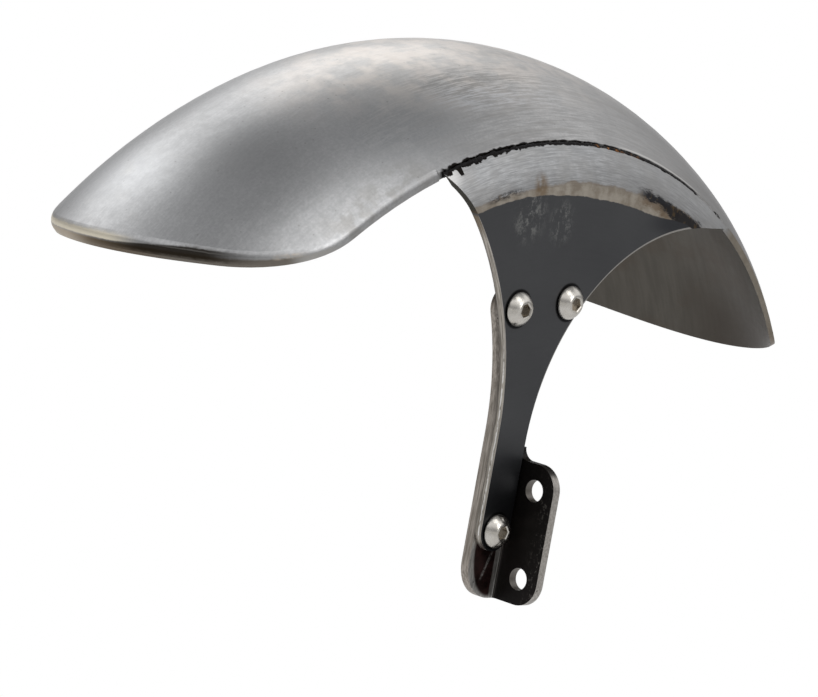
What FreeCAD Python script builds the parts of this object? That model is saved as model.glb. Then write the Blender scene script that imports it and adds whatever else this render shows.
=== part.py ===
"""Front fender of an electric scooter: a pressed steel shell that hangs from one fork leg.

A flat hanger plate with a curved top is welded to the shell's left edge. Three button head screws go through
the plate into tapped holes of a folded bracket, and the bracket's flange takes the two bolts of the fork.

Millimetres. +X is the way the scooter drives, +Y is its left, +Z is up. The origin is the centre of the two
fork bolt holes, on the face of the flange that lies against the fork.
"""
import math
import os

import FreeCAD
import Part
import Sketcher

V = FreeCAD.Vector

# Driving dimensions: name, value, meaning
SIZES = [
    ("wheel_x", -7.3, "wheel axis ahead of the fork bolts"),
    ("wheel_z", -41.5, "wheel axis above the fork bolts"),
    ("crown_radius", 229.6, "wheel axis to the top of the shell"),
    ("front_radius", 270.0, "flatter curve of the shell ahead of the plate"),
    ("rear_radius", 180.0, "tighter curve of the shell behind the plate"),
    ("joint_degrees", 0.6, "ends of the plate to where the shell's curve changes"),
    ("section_radius", 95.2, "curve of the shell from side to side"),
    ("half_width", 69.0, "middle of the shell to its side edge"),
    ("sheet", 2.0, "thickness of the shell"),
    ("roll_radius", 4.5, "outside radius where the edge turns in"),
    ("front_lip", 6.5, "depth of the turned-in edge at the front"),
    ("side_lip", 3.4, "depth of the turned-in edge at the sides"),
    ("front_degrees", 49.9, "slope of the shell at the middle of its front edge"),
    ("front_bow", 104.0, "radius of the front edge"),
    ("front_shift", 5.3, "middle of the front edge's bow, right of the shell's middle"),
    ("front_corner", 47.5, "radius of the front corners"),
    ("rear_degrees", 67.3, "slope of the shell at the middle of its rear edge"),
    ("rear_bow", 108.0, "radius of the rear edge"),
    ("rear_corner", 10.0, "radius of the rear corners"),
    ("weld_gap", 1.2, "shell edge to hanger plate"),
    ("weld_recess", 0.8, "weld below the outside of the shell"),
    ("weld_root", 0.6, "weld past the inside of the shell"),
    ("strip_front_degrees", 24.3, "top of the shell to the front end of the plate's curved top"),
    ("strip_rear_degrees", 30.9, "top of the shell to the rear end of the plate's curved top"),
    ("plate_face", 7.6, "fork bolts to the outside of the hanger plate, inwards"),
    ("plate_thickness", 3.5, "thickness of the hanger plate"),
    ("plate_bend", 26.5, "outside radius of the bend in the plate's curved top"),
    ("arm_half_width", 8.5, "half the width of the plate's lower arm"),
    ("arm_gap", 0.2, "plate's lower arm to the bend of the bracket"),
    ("front_flare", 38.8, "height where the arm's front edge starts to flare"),
    ("rear_flare", 35.6, "height where the arm's rear edge starts to flare"),
    ("front_boss", 8.15, "upper front screw to the plate's front edge"),
    ("front_screw_z", 90.3, "height of the upper front screw"),
    ("rear_boss", 7.65, "upper rear screw to the plate's rear edge"),
    ("rear_screw_z", 94.1, "height of the upper rear screw"),
    ("lower_screw_z", 0.0, "height of the lower screw, in the round end of the arm"),
    ("screw_hole", 9.0, "holes for the screws in the plate"),
    ("screw_shank", 8.0, "screw thread, outside diameter"),
    ("screw_length", 10.0, "screw under its head"),
    ("head_width", 14.0, "screw head diameter"),
    ("head_height", 4.4, "screw head height"),
    ("head_rim", 0.6, "straight rim of the screw head"),
    ("head_flat", 7.2, "flat top of the screw head"),
    ("socket_width", 5.0, "hexagon socket across its flats"),
    ("socket_depth", 2.6, "hexagon socket depth"),
    ("thread_clearance", 0.1, "screw thread to the tapped holes of the bracket"),
    ("bracket_thickness", 4.0, "thickness of the fork bracket"),
    ("bracket_bend", 1.5, "inside radius of the bracket's bend"),
    ("bracket_inset", 0.3, "bracket leg inside the plate's rear edge"),
    ("flange_reach", 10.0, "fork bolts to the flange's free edge"),
    ("flange_top", 29.0, "fork bolts to the flange's top edge"),
    ("flange_bottom", 28.8, "fork bolts to the flange's bottom edge"),
    ("flange_top_corner", 10.5, "radius of the flange's upper corner"),
    ("flange_bottom_corner", 10.0, "radius of the flange's lower corner"),
    ("leg_corner", 15.0, "radius of the leg's lower corner"),
    ("flange_relief", 4.8, "hollow radius between flange and leg"),
    ("fork_hole", 9.0, "holes for the fork bolts"),
    ("fork_spacing", 36.4, "fork bolt to fork bolt"),
]
# How far cutting shapes run past what they cut, and the fan that the plate is cut from, each side of the top
SPARE = 15.0
SPARE_DEGREES = 10.0
FAN_DEGREES = "80"

doc = FreeCAD.newDocument("fender")
sheet = doc.addObject("Spreadsheet::Sheet", "Sizes")
for row, (alias, value, meaning) in enumerate(SIZES, start=1):
    sheet.set("A%d" % row, alias)
    sheet.set("B%d" % row, str(value))
    sheet.set("C%d" % row, meaning)
    sheet.setAlias("B%d" % row, alias)
doc.recompute()


def size(alias):
    """A driving dimension, read from its cell."""
    return float(sheet.get(alias))


# Worked-out sizes that several pieces share
section_axis = size("crown_radius") - size("section_radius")
strip_edge = size("half_width") + size("weld_gap")
strip_sine = strip_edge / size("section_radius")
plate_y = strip_edge + size("plate_bend") * (1 - strip_sine)
wheel_centre = V(size("wheel_x"), -size("plate_face") - plate_y, size("wheel_z"))
arm_rear = size("bracket_thickness") + size("bracket_bend") + size("arm_gap")
arm_middle = arm_rear + size("arm_half_width")
arm_front = arm_middle + size("arm_half_width")
leg_face = size("plate_face") + size("plate_thickness")
leg_back = leg_face + size("bracket_thickness")

# The middle of the shell's side to side curve and of its rolled right edge, in its section
section_hub = V(0, section_axis, 0)
roll_y = size("half_width") - size("roll_radius")
roll_rise = math.sqrt((size("section_radius") - size("roll_radius")) ** 2 - roll_y ** 2)
roll_hub = V(-roll_y, section_axis + roll_rise, 0)

# The shell's three arcs: the angle where each starts, and how far its axis lies below the wheel axis there
front_joint = size("strip_front_degrees") + size("joint_degrees")
rear_joint = -size("strip_rear_degrees") - size("joint_degrees")
ARCS = {
    "front": (front_joint, size("front_radius") - size("crown_radius")),
    "middle": (0.0, 0.0),
    "rear": (rear_joint, size("rear_radius") - size("crown_radius")),
}


def shell_radius(y, inset=0.0):
    """Distance from the wheel axis to the shell's skin, y from its middle and inset below its outside."""
    return section_axis + math.sqrt((size("section_radius") - inset) ** 2 - y ** 2)


def arc_axis(name):
    """The point, from the wheel axis, that one of the shell's arcs turns about."""
    start, drop = ARCS[name]
    angle = math.radians(start)
    return V(-drop * math.sin(angle), 0, -drop * math.cos(angle))


def on_seam(degrees):
    """The point, seen from the side, where the plate's top edge is this far round from the top."""
    reach = shell_radius(strip_edge)
    angle = math.radians(degrees)
    return V(size("wheel_x") + reach * math.sin(angle), size("wheel_z") + reach * math.cos(angle), 0)


# The plate's side edges flare from the arm to the two ends of the seam, each on one arc
front_end = on_seam(size("strip_front_degrees"))
rear_end = on_seam(-size("strip_rear_degrees"))
front_run = front_end.x - arm_front
front_rise = front_end.y - size("front_flare")
front_flare_radius = (front_run ** 2 + front_rise ** 2) / (2 * front_run)
front_flare_centre = V(arm_front + front_flare_radius, size("front_flare"), 0)
rear_flare_radius = rear_end.y - size("rear_flare")
rear_flare_centre = V(arm_rear - rear_flare_radius, size("rear_flare"), 0)


def beside_flare(centre, radius, boss, height):
    """How far a screw at this height lies from the middle of a flare, by its distance from the edge."""
    return math.sqrt((radius + boss) ** 2 - (height - centre.y) ** 2)


# The screws: two beside the flared edges, one in the round end of the arm
front_away = beside_flare(front_flare_centre, front_flare_radius, size("front_boss"), size("front_screw_z"))
rear_away = beside_flare(rear_flare_centre, rear_flare_radius, size("rear_boss"), size("rear_screw_z"))
front_screw = V(front_flare_centre.x - front_away, size("front_screw_z"), 0)
rear_screw = V(rear_flare_centre.x + rear_away, size("rear_screw_z"), 0)
lower_screw = V(arm_middle, size("lower_screw_z"), 0)
SCREWS = [front_screw, rear_screw, lower_screw]


def line(start, end):
    return Part.LineSegment(start, end)


def polar(centre, radius, angle):
    return V(centre.x + radius * math.cos(angle), centre.y + radius * math.sin(angle), 0)


def arc(centre, radius, start, end):
    """An arc from one angle to another, in radians, the way round that the two angles give."""
    middle = polar(centre, radius, (start + end) / 2)
    return Part.Arc(polar(centre, radius, start), middle, polar(centre, radius, end))


def polygon(points):
    return [line(points[i - 1], points[i]) for i in range(len(points))]


def direction(start, end):
    return math.atan2(end.y - start.y, end.x - start.x)


def new_body(name, base=V(0, 0, 0), rotation=FreeCAD.Rotation()):
    body = doc.addObject("PartDesign::Body", name)
    body.Label = name
    body.Placement = FreeCAD.Placement(base, rotation)
    return body


def new_sketch(body, name, role, loops, offset=FreeCAD.Placement()):
    """A sketch on one of the body's own planes, each loop a list of lines and arcs, end to end."""
    plane = next(feature for feature in body.Origin.OriginFeatures if feature.Role == role)
    sketch = body.newObject("Sketcher::SketchObject", name)
    sketch.AttachmentSupport = [(plane, "")]
    sketch.MapMode = "FlatFace"
    sketch.AttachmentOffset = offset
    for loop in loops:
        first = sketch.GeometryCount
        sketch.addGeometry(loop, False)
        for i in range(len(loop) if len(loop) > 1 else 0):
            join_ends(sketch, first + i, first + (i + 1) % len(loop))
    return sketch


def join_ends(sketch, one, other):
    """Ties the ends of two lines or arcs that meet."""
    for end in (1, 2):
        for start in (1, 2):
            if sketch.getPoint(one, end).distanceToPoint(sketch.getPoint(other, start)) < 1e-6:
                sketch.addConstraint(Sketcher.Constraint("Coincident", one, end, other, start))


def bind_radius(sketch, index, expression):
    """Ties an arc's or a circle's radius to the sheet."""
    radius = sketch.Geometry[index].Radius
    number = sketch.addConstraint(Sketcher.Constraint("Radius", index, radius))
    sketch.setExpression("Constraints[%d]" % number, expression)


def revolve(body, name, sketch, front=None, rear=None, axis="H_Axis"):
    """Turns a sketch about an axis: from one bound angle to another, or right round."""
    feature = body.newObject("PartDesign::Revolution", name)
    feature.Profile = sketch
    feature.ReferenceAxis = (sketch, [axis])
    if front:
        feature.Type = "TwoAngles"
        feature.setExpression("Angle", front)
        feature.setExpression("Angle2", rear)
    else:
        feature.Angle = 360
    doc.recompute()
    return feature


def pocket(body, name, sketch, depth=None, both_ways=False, reverse=False):
    """Cuts a sketch through everything, or to a bound depth."""
    feature = body.newObject("PartDesign::Pocket", name)
    feature.Profile = sketch
    feature.Midplane = both_ways
    feature.Reversed = reverse
    if depth:
        feature.setExpression("Length", depth)
    else:
        feature.Type = "ThroughAll"
    doc.recompute()
    return feature


def pad(body, name, sketch, length):
    feature = body.newObject("PartDesign::Pad", name)
    feature.Profile = sketch
    feature.setExpression("Length", length)
    doc.recompute()
    return feature


def circles(body, name, role, centres, radius):
    """A sketch of equal circles, their radius tied to the sheet."""
    loops = [[Part.Circle(centre, V(0, 0, 1), size("screw_shank") / 2)] for centre in centres]
    sketch = new_sketch(body, name, role, loops)
    for i in range(len(centres)):
        bind_radius(sketch, i, radius)
    return sketch


def hexagon(width):
    """Six corners of a hexagon, by its width across flats."""
    corner = width / math.sqrt(3)
    return [polar(V(0, 0, 0), corner, math.radians(60 * i)) for i in range(6)]


def edges_where(shape, test):
    """Names of the edges whose points all pass a test."""
    names = []
    for i, edge in enumerate(shape.Edges, start=1):
        span = edge.LastParameter - edge.FirstParameter
        points = [edge.valueAt(edge.FirstParameter + share * span) for share in (0.1, 0.5, 0.9)]
        if all(test(point) for point in points):
            names.append("Edge%d" % i)
    return names


def fillet(body, name, base, edges, radius):
    feature = body.newObject("PartDesign::Fillet", name)
    feature.Base = (base, edges)
    feature.setExpression("Radius", radius)
    doc.recompute()
    return feature


def end_cut(body, name, forward, inset, end, shift=0.0):
    """Trims one end of the shell to a bowed edge, off its middle by a shift, between two rounded corners."""
    bow = size(end + "_bow")
    corner = size(end + "_corner")
    half = size("half_width")
    heading = 0 if forward > 0 else math.pi
    square = forward * math.pi / 2
    hubs = []
    turns = []
    for y in (corner - half, half - corner):
        along = math.sqrt((bow - corner) ** 2 - (y - shift) ** 2)
        hubs.append(V(forward * (along - bow), y, 0))
        turns.append(heading + forward * math.atan2(y - shift, along))
    outline = [
        arc(hubs[0], corner - inset, heading - square, turns[0]),
        arc(V(-forward * bow, shift, 0), bow - inset, turns[0], turns[1]),
        arc(hubs[1], corner - inset, turns[1], heading + square),
    ]
    far = forward * size("crown_radius")
    outside = half + SPARE
    corners = [V(hubs[1].x, half - inset, 0), V(hubs[1].x, outside, 0), V(far, outside, 0)]
    corners += [V(far, -outside, 0), V(hubs[0].x, -outside, 0), V(hubs[0].x, inset - half, 0)]
    outline += [line(corners[i], corners[i + 1]) for i in range(len(corners) - 1)]
    tilt = FreeCAD.Rotation(V(0, 1, 0), forward * size(end + "_degrees"))
    place = FreeCAD.Placement(arc_axis(end), tilt)
    sketch = new_sketch(body, name + "_outline", "XY_Plane", [outline], place)
    for index, radius in ((0, "_corner"), (1, "_bow"), (2, "_corner")):
        bind_radius(sketch, index, "Sizes.%s - %g" % (end + radius, inset))
    return pocket(body, name, sketch, reverse=True)


def sweep_section(body, name, section, arc_name, ends):
    """Turns a section of the shell along one of its arcs, to one bound angle or to two."""
    start, drop = ARCS[arc_name]
    tilt = FreeCAD.Placement(V(0, 0, 0), FreeCAD.Rotation(V(1, 0, 0), start))
    sketch = new_sketch(body, "%s_%s_section" % (name, arc_name), "YZ_Plane", [section], tilt)
    sketch.addGeometry(line(V(0, -drop, 0), V(size("half_width"), -drop, 0)), True)
    feature = body.newObject("PartDesign::Revolution", "%s_%s" % (name, arc_name))
    feature.Profile = sketch
    feature.ReferenceAxis = (sketch, ["Axis0"])
    feature.Reversed = arc_name == "rear"
    feature.Type = "TwoAngles" if len(ends) > 1 else "Angle"
    for angle, expression in zip(("Angle", "Angle2"), ends):
        feature.setExpression(angle, expression)
    doc.recompute()
    return feature


def past_joint(end):
    """How far the shell turns from its change of curve to past its front or rear end."""
    return "Sizes.%s_degrees - Sizes.strip_%s_degrees - Sizes.joint_degrees + %g" % (end, end, SPARE_DEGREES)


def lip_bottom(y):
    """Height of the turned-in edge's lower side, y from the middle of the shell."""
    low_edge = shell_radius(size("half_width")) - size("side_lip")
    low_crown = size("crown_radius") - size("front_lip")
    rise = low_crown - low_edge
    bend = (size("half_width") ** 2 + rise ** 2) / (2 * rise)
    return low_crown - bend + math.sqrt(bend ** 2 - y ** 2)


def front_form(body, name, inset, below):
    """The front of the shell as a solid crown with square edges, this far inside the real one."""
    radius = size("section_radius") - inset
    half = size("half_width") - inset
    lean = math.asin(half / radius)
    edge = shell_radius(half, inset)
    low = [V(y, lip_bottom(y) - below, 0) for y in (-half, 0, half)]
    section = [
        arc(section_hub, radius, math.pi / 2 - lean, math.pi / 2 + lean),
        line(V(-half, edge, 0), low[0]),
        Part.Arc(*low),
        line(low[2], V(half, edge, 0)),
    ]
    sweep_section(body, name, section, "front", [past_joint("front")])
    return end_cut(body, name + "_end", 1, inset, "front", -size("front_shift"))


def on_front_rim(point):
    """Test for the edge round the outside of the shell's front."""
    start, drop = ARCS["front"]
    from_axis = point - arc_axis("front")
    depth = math.hypot(from_axis.x, from_axis.z) - drop - section_axis
    ahead = math.degrees(math.atan2(from_axis.x, from_axis.z)) - start
    return abs(math.hypot(depth, point.y) - size("section_radius")) < 1e-3 and ahead > 1e-3


def sheet_section():
    """The sheet behind the front: edge turned in on the right, cut plain on the left where the plate is."""
    half = size("half_width")
    thickness = size("sheet")
    outer = size("section_radius")
    turn = direction(section_hub, roll_hub)
    lip = [V(-half, roll_hub.y, 0), V(thickness - half, shell_radius(half - thickness, thickness), 0)]
    low = [V(point.x, lip_bottom(point.x), 0) for point in lip]
    plain = [V(half, shell_radius(half, inset), 0) for inset in (0, thickness)]
    return [
        arc(section_hub, outer, direction(section_hub, plain[0]), turn),
        arc(roll_hub, size("roll_radius"), turn, math.pi),
        line(lip[0], low[0]),
        line(low[0], low[1]),
        line(low[1], lip[1]),
        arc(section_hub, outer - thickness, direction(section_hub, lip[1]), direction(section_hub, plain[1])),
        line(plain[1], plain[0]),
    ]


def make_shell():
    """Pressed sheet: edge turned in round the front and along the right side, cut plain elsewhere."""
    hollow = new_body("hollow")
    front_form(hollow, "hollow", size("sheet"), SPARE)
    body = new_body("fender_shell", wheel_centre)
    front = front_form(body, "front", 0, 0)
    fillet(body, "front_roll", front, edges_where(front.Shape, on_front_rim), "Sizes.roll_radius")
    inside = body.newObject("PartDesign::Boolean", "inside")
    inside.Type = "Cut"
    inside.Group = [hollow]
    doc.recompute()
    joint = "Sizes.strip_%s_degrees + Sizes.joint_degrees"
    sweep_section(body, "sheet", sheet_section(), "middle", [joint % "front", joint % "rear"])
    sweep_section(body, "sheet", sheet_section(), "rear", [past_joint("rear")])
    end_cut(body, "rear_end", -1, 0, "rear")
    return body


def make_weld():
    """Weld in the gap between the shell's plain edge and the plate's curved top."""
    body = new_body("seam_weld", wheel_centre)
    edges = (size("half_width"), strip_edge)
    root = shell_radius(size("half_width"), size("sheet")) - size("weld_root")
    points = [V(y, shell_radius(y) - size("weld_recess"), 0) for y in edges]
    points += [V(y, root, 0) for y in reversed(edges)]
    sketch = new_sketch(body, "weld_section", "YZ_Plane", [polygon(points)])
    revolve(body, "weld_run", sketch, "Sizes.strip_front_degrees", "Sizes.strip_rear_degrees")
    return body


def plate_outline():
    """The plate from the side: a round-ended arm that flares into the long curved top."""
    top = size("wheel_z") + size("crown_radius") + SPARE
    seam = math.pi - math.asin(front_rise / front_flare_radius)
    quarter = math.pi / 2
    foot = size("lower_screw_z")
    return [
        line(V(arm_front, foot, 0), V(arm_front, size("front_flare"), 0)),
        arc(front_flare_centre, front_flare_radius, math.pi, seam),
        line(front_end, V(front_end.x, top, 0)),
        line(V(front_end.x, top, 0), V(rear_end.x, top, 0)),
        line(V(rear_end.x, top, 0), rear_end),
        line(rear_end, V(rear_flare_centre.x, rear_end.y, 0)),
        arc(rear_flare_centre, rear_flare_radius, quarter, 0),
        line(V(arm_rear, size("rear_flare"), 0), V(arm_rear, foot, 0)),
        arc(lower_screw, size("arm_half_width"), math.pi, 2 * math.pi),
    ]


def from_wheel(shape):
    """The same line or arc, measured from the wheel axis."""
    moved = shape.copy()
    moved.translate(V(-size("wheel_x"), -size("wheel_z"), 0))
    return moved


def make_plate():
    """Laser-cut plate with its top rolled over to meet the shell."""
    body = new_body("hanger_plate", wheel_centre)
    outer = size("plate_bend")
    inner = outer - size("plate_thickness")
    cosine = math.sqrt(1 - strip_sine ** 2)
    hub = V(plate_y - outer, shell_radius(strip_edge) - outer * cosine, 0)
    outer_start = math.acos(strip_sine)
    inner_start = math.acos((strip_edge - hub.x) / inner)
    low = size("arm_half_width")
    back = plate_y - size("plate_thickness")
    section = [
        arc(hub, outer, outer_start, 0),
        line(V(plate_y, hub.y, 0), V(plate_y, low, 0)),
        line(V(plate_y, low, 0), V(back, low, 0)),
        line(V(back, low, 0), V(back, hub.y, 0)),
        arc(hub, inner, 0, inner_start),
        line(polar(hub, inner, inner_start), polar(hub, outer, outer_start)),
    ]
    sketch = new_sketch(body, "plate_section", "YZ_Plane", [section])
    bind_radius(sketch, 0, "Sizes.plate_bend")
    revolve(body, "rolled_blank", sketch, FAN_DEGREES, FAN_DEGREES)
    outline = [from_wheel(shape) for shape in plate_outline()]
    far = size("crown_radius") + 2 * SPARE
    frame = polygon([V(far, far, 0), V(-far, far, 0), V(-far, -far, 0), V(far, -far, 0)])
    pocket(body, "cut_out", new_sketch(body, "plate_outline", "XZ_Plane", [frame, outline]), both_ways=True)
    wheel = V(size("wheel_x"), size("wheel_z"), 0)
    centres = [screw - wheel for screw in SCREWS]
    holes = circles(body, "screw_circles", "XZ_Plane", centres, "Sizes.screw_hole / 2")
    pocket(body, "screw_holes", holes, both_ways=True)
    return body


def leg_outline():
    """The bracket's leg from the side: behind the arm, up and round the two upper screws."""
    bottom = -size("flange_bottom")
    corner = size("leg_corner")
    fold = size("bracket_bend") + size("bracket_thickness")
    neck = size("flange_top") + size("flange_relief")
    front_boss = size("front_boss")
    rear_edge = rear_flare_radius + size("bracket_inset")
    rear_boss = size("rear_boss") - size("bracket_inset")
    front_touch = direction(front_flare_centre, front_screw)
    rear_touch = direction(rear_screw, rear_flare_centre) + 2 * math.pi
    gap = front_screw.distanceToPoint(rear_screw)
    top = direction(front_screw, rear_screw) - math.acos((front_boss - rear_boss) / gap)
    rear_foot = math.asin((neck - rear_flare_centre.y) / rear_edge)
    neck_corner = polar(rear_flare_centre, rear_edge, rear_foot)
    return [
        line(V(fold, bottom, 0), V(arm_front - corner, bottom, 0)),
        arc(V(arm_front - corner, bottom + corner, 0), corner, -math.pi / 2, 0),
        line(V(arm_front, bottom + corner, 0), V(arm_front, size("front_flare"), 0)),
        arc(front_flare_centre, front_flare_radius, math.pi, front_touch),
        arc(front_screw, front_boss, front_touch - math.pi, top),
        line(polar(front_screw, front_boss, top), polar(rear_screw, rear_boss, top)),
        arc(rear_screw, rear_boss, top, rear_touch),
        arc(rear_flare_centre, rear_edge, rear_touch - math.pi, rear_foot),
        line(neck_corner, V(fold, neck, 0)),
        line(V(fold, neck, 0), V(fold, bottom, 0)),
    ]


def fold_section():
    """The bracket from above where it is folded: the flange and the start of the leg."""
    thickness = size("bracket_thickness")
    inner = size("bracket_bend")
    outer = inner + thickness
    hub = V(outer, inner - leg_face, 0)
    quarter = math.pi / 2
    return [
        line(V(0, hub.y, 0), V(0, size("flange_reach"), 0)),
        line(V(0, size("flange_reach"), 0), V(thickness, size("flange_reach"), 0)),
        line(V(thickness, size("flange_reach"), 0), V(thickness, hub.y, 0)),
        arc(hub, inner, 2 * quarter, 3 * quarter),
        line(V(hub.x, -leg_face, 0), V(arm_rear, -leg_face, 0)),
        line(V(arm_rear, -leg_face, 0), V(arm_rear, -leg_back, 0)),
        line(V(arm_rear, -leg_back, 0), V(hub.x, -leg_back, 0)),
        arc(hub, outer, 3 * quarter, 2 * quarter),
    ]


def relief_outline():
    """What is cut away above the flange, with a hollow corner where it runs up into the leg."""
    top = size("flange_top")
    relief = size("flange_relief")
    hub = V(relief - leg_face, top + relief, 0)
    far = V(size("flange_reach") + SPARE, hub.y + SPARE, 0)
    return [
        arc(hub, relief, math.pi, 1.5 * math.pi),
        line(V(hub.x, top, 0), V(far.x, top, 0)),
        line(V(far.x, top, 0), far),
        line(far, V(-leg_face, far.y, 0)),
        line(V(-leg_face, far.y, 0), V(-leg_face, hub.y, 0)),
    ]


def make_bracket():
    """Folded plate: a leg behind the hanger plate and a flange that bolts to the fork."""
    body = new_body("fork_bracket")
    bottom = FreeCAD.Placement(V(0, 0, -size("flange_bottom")), FreeCAD.Rotation())
    fold = new_sketch(body, "fold_section", "XY_Plane", [fold_section()], bottom)
    bind_radius(fold, 3, "Sizes.bracket_bend")
    bind_radius(fold, 7, "Sizes.bracket_bend + Sizes.bracket_thickness")
    pad(body, "fold", fold, "Sizes.flange_bottom + Sizes.flange_top + Sizes.flange_relief")
    relief = new_sketch(body, "relief_outline", "YZ_Plane", [relief_outline()])
    bind_radius(relief, 0, "Sizes.flange_relief")
    cut = pocket(body, "relief", relief, both_ways=True)
    for name, height in (("flange_top", size("flange_top")), ("flange_bottom", -size("flange_bottom"))):
        corner = edges_where(cut.Shape, flange_corner(height))
        cut = fillet(body, name + "_corner", cut, corner, "Sizes.%s_corner" % name)
    behind = FreeCAD.Placement(V(0, 0, leg_face), FreeCAD.Rotation())
    leg = new_sketch(body, "leg_outline", "XZ_Plane", [leg_outline()], behind)
    bind_radius(leg, 1, "Sizes.leg_corner")
    pad(body, "leg", leg, "Sizes.bracket_thickness")
    tapped = "Sizes.screw_shank / 2 + Sizes.thread_clearance"
    pocket(body, "tapped_holes", circles(body, "leg_circles", "XZ_Plane", SCREWS, tapped), both_ways=True)
    bolts = [V(0, side * size("fork_spacing") / 2, 0) for side in (-1, 1)]
    fork = circles(body, "fork_circles", "YZ_Plane", bolts, "Sizes.fork_hole / 2")
    pocket(body, "fork_holes", fork, both_ways=True)
    return body


def flange_corner(height):
    """Test for the flange's free corner at this height."""
    return lambda point: abs(point.y - size("flange_reach")) < 1e-4 and abs(point.z - height) < 1e-4


def make_screw(number, place):
    """Button head screw, head towards +Z on the plane z = 0."""
    body = new_body("button_screw_%d" % number, place, FreeCAD.Rotation(V(1, 0, 0), -90))
    head = size("head_width") / 2
    flat = size("head_flat") / 2
    shank = size("screw_shank") / 2
    rim = size("head_rim")
    top = size("head_height")
    end = -size("screw_length")
    profile = [V(0, top, 0), V(0, end, 0), V(shank, end, 0), V(shank, 0, 0), V(head, 0, 0), V(head, rim, 0)]
    profile.append(V(flat, top, 0))
    turned = new_sketch(body, "screw_profile_%d" % number, "XZ_Plane", [polygon(profile)])
    revolve(body, "turned_%d" % number, turned, axis="V_Axis")
    lifted = FreeCAD.Placement(V(0, 0, top), FreeCAD.Rotation())
    key = polygon(hexagon(size("socket_width")))
    socket = new_sketch(body, "socket_outline_%d" % number, "XY_Plane", [key], lifted)
    pocket(body, "socket_%d" % number, socket, depth="Sizes.socket_depth")
    return body


def make_screws():
    """The three screws as one node, a solid each."""
    group = doc.addObject("Part::Compound", "button_screws")
    group.Label = "button_screws"
    places = [V(screw.x, -size("plate_face"), screw.y) for screw in SCREWS]
    group.Links = [make_screw(i, place) for i, place in enumerate(places, start=1)]
    doc.recompute()
    return group


nodes = [
    make_shell(),
    make_weld(),
    make_plate(),
    make_bracket(),
    make_screws(),
]
doc.recompute()

for item in doc.Objects:
    if {"Invalid", "Error"} & set(item.State):
        raise RuntimeError("%s failed: %s" % (item.Label, item.State))
for node in nodes:
    if node.Shape.isNull() or not node.Shape.isValid():
        raise RuntimeError("%s has no valid shape" % node.Label)

os.makedirs("parts", exist_ok=True)
for node in nodes:
    node.Shape.exportStep("parts/%s.step" % node.Label)
    print("%s: %d solids, %.0f mm3" % (node.Label, len(node.Shape.Solids), node.Shape.Volume))
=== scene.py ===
# %% [markdown]
# # A scooter's front fender in bare steel
# The solid parts come from the packed model and stay where they are. This lesson adds what a
# finished object needs on top of them: a camera, a plain studio, the finish of each piece of steel,
# and finer pieces where a plain solid falls short, such as the domed screws and the ragged weld.

# %% Load the packed parts
import math

import bmesh
import bpy
from mathutils import Matrix, Vector, noise


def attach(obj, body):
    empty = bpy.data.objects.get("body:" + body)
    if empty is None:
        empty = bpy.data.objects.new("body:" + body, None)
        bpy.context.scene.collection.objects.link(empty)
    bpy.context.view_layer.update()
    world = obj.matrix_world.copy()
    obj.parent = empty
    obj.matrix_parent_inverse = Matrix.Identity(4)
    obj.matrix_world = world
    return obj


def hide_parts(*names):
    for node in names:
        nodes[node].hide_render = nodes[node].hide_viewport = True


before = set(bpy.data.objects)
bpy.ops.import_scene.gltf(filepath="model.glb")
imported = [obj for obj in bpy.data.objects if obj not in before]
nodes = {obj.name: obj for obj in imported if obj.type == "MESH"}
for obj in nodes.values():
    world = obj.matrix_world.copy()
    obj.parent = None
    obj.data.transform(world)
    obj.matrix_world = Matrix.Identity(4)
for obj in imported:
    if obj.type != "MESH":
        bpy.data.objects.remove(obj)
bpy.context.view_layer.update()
print("parts:", sorted(nodes))

# %% [markdown]
# ## The wheel, the seam and the screws
# The shell, the plate's curved top and the weld all bend round the wheel's axle. Most marks on
# them are easiest to place by an angle round that axle, so it is named first.
# Lengths are in millimetres here, and are turned to metres where a mesh is made.

# %% Places that several steps need
MM = 0.001
AXLE = Vector((-7.3, -84.8, -41.5))
SEAM_RADIUS = 199.3
SHELL_EDGE = -15.8
STRIP_EDGE = -14.6
SEAM_FRONT = 24.3
SEAM_REAR = -30.9
PLATE_FACE = -7.6
PLATE_BACK = -11.1
SCREWS = [(25.0, 90.3), (-5.3, 94.1), (14.2, 0.0)]
print("the seam runs from", SEAM_FRONT, "to", SEAM_REAR, "degrees from the top")

# %% [markdown]
# ## Camera
# The camera stands a little above the fender, ahead of it and to its left, and leans over by ten
# degrees, as in the photograph. A long lens keeps the far corner nearly as large as the near one.
# Three angles give the camera's own axes: right, up, and back from the scene.

# %% Set the camera
AZIMUTH = math.radians(41.643)
ELEVATION = math.radians(6.770)
LEAN = math.radians(10.128)
DISTANCE = 1390.3
AIM = Vector((37.7, -49.5, 65.0))
PHOTO_WIDTH = 818
FOCAL_PIXELS = 3466.0


def direction(azimuth, elevation):
    """A unit vector from two angles."""
    level = math.cos(elevation)
    return Vector((level * math.cos(azimuth), level * math.sin(azimuth), math.sin(elevation)))


def camera_axes():
    """The camera's right, up and back directions."""
    back = direction(AZIMUTH, ELEVATION)
    side = Vector((-math.sin(AZIMUTH), math.cos(AZIMUTH), 0))
    rise = back.cross(side)
    right = math.cos(LEAN) * side + math.sin(LEAN) * rise
    up = math.cos(LEAN) * rise - math.sin(LEAN) * side
    return right, up, back


right, up, back = camera_axes()
lens = bpy.data.cameras.new("camera")
lens.sensor_width = 36.0
lens.lens = FOCAL_PIXELS / PHOTO_WIDTH * lens.sensor_width
camera = bpy.data.objects.new("camera", lens)
turn = Matrix((right, up, back)).transposed().to_4x4()
camera.matrix_world = Matrix.Translation((AIM + DISTANCE * back) * MM) @ turn
bpy.context.scene.collection.objects.link(camera)
bpy.context.scene.camera = camera
print("lens", round(lens.lens, 1), "mm")

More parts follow.
